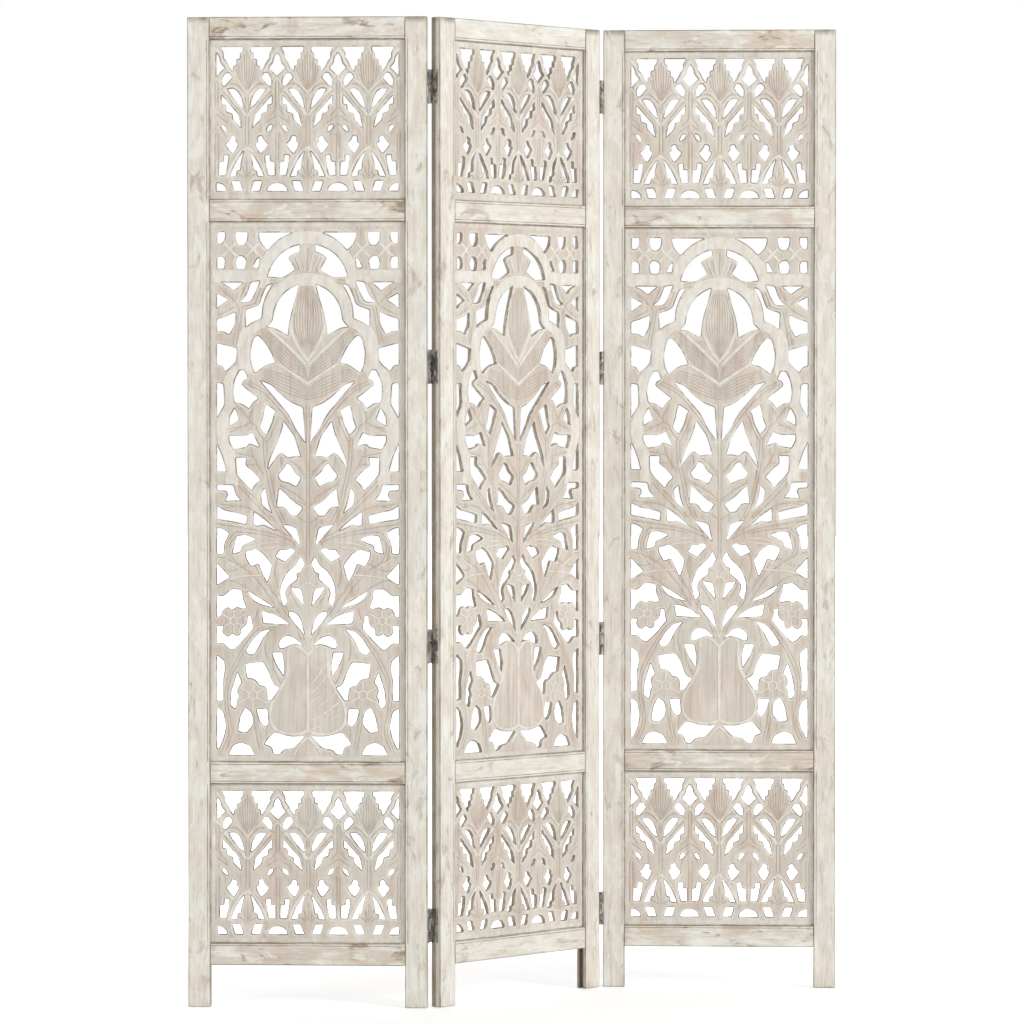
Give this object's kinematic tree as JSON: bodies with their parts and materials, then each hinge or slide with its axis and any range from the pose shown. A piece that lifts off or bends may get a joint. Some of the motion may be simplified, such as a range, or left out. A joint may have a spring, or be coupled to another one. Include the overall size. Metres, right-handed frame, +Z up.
{
  "type": "folding screen",
  "caption": "Carved wooden folding screen: hinged panels with pierced foliage boards in a jointed frame, stands in a zigzag and folds flat",
  "frame": {"origin": "on the floor, in the middle of the screen's box as it stands folded", "axes": "+X along the screen from the left panel to the right, +Y away from the viewer, +Z up"},
  "size_m": [1.0836, 0.3388, 1.65],
  "materials": {
    "frame_wood": "whitewashed, distressed",
    "fretwork_wood": "limed and rubbed carving",
    "hinge_steel": "dark aged steel"
  },
  "bodies": {
    "left_panel": {"left_left_stile": "frame_wood", "left_right_stile": "frame_wood", "left_top_rail": "frame_wood", "left_upper_mid_rail": "frame_wood", "left_lower_mid_rail": "frame_wood", "left_bottom_rail": "frame_wood", "left_top_fretwork": "fretwork_wood", "left_middle_fretwork": "fretwork_wood", "left_bottom_fretwork": "fretwork_wood", "left_fold_outer_leaves": "hinge_steel", "left_fold_pins": "hinge_steel"},
    "middle_panel": {"middle_left_stile": "frame_wood", "middle_right_stile": "frame_wood", "middle_top_rail": "frame_wood", "middle_upper_mid_rail": "frame_wood", "middle_lower_mid_rail": "frame_wood", "middle_bottom_rail": "frame_wood", "middle_top_fretwork": "fretwork_wood", "middle_middle_fretwork": "fretwork_wood", "middle_bottom_fretwork": "fretwork_wood", "left_fold_inner_leaves": "hinge_steel", "right_fold_outer_leaves": "hinge_steel", "right_fold_pins": "hinge_steel"},
    "right_panel": {"right_left_stile": "frame_wood", "right_right_stile": "frame_wood", "right_top_rail": "frame_wood", "right_upper_mid_rail": "frame_wood", "right_lower_mid_rail": "frame_wood", "right_bottom_rail": "frame_wood", "right_top_fretwork": "fretwork_wood", "right_middle_fretwork": "fretwork_wood", "right_bottom_fretwork": "fretwork_wood", "right_fold_inner_leaves": "hinge_steel"}
  },
  "joints": [
    {"name": "left_fold", "type": "hinge", "parent": "middle_panel", "child": "left_panel", "pos_m": [-0.1398, -0.14638, 0.825], "axis": [0, 0, 1], "range_deg": [-130, 50]},
    {"name": "right_fold", "type": "hinge", "parent": "middle_panel", "child": "right_panel", "pos_m": [0.1398, 0.14638, 0.825], "axis": [0, 0, 1], "range_deg": [-130, 50]}
  ]
}
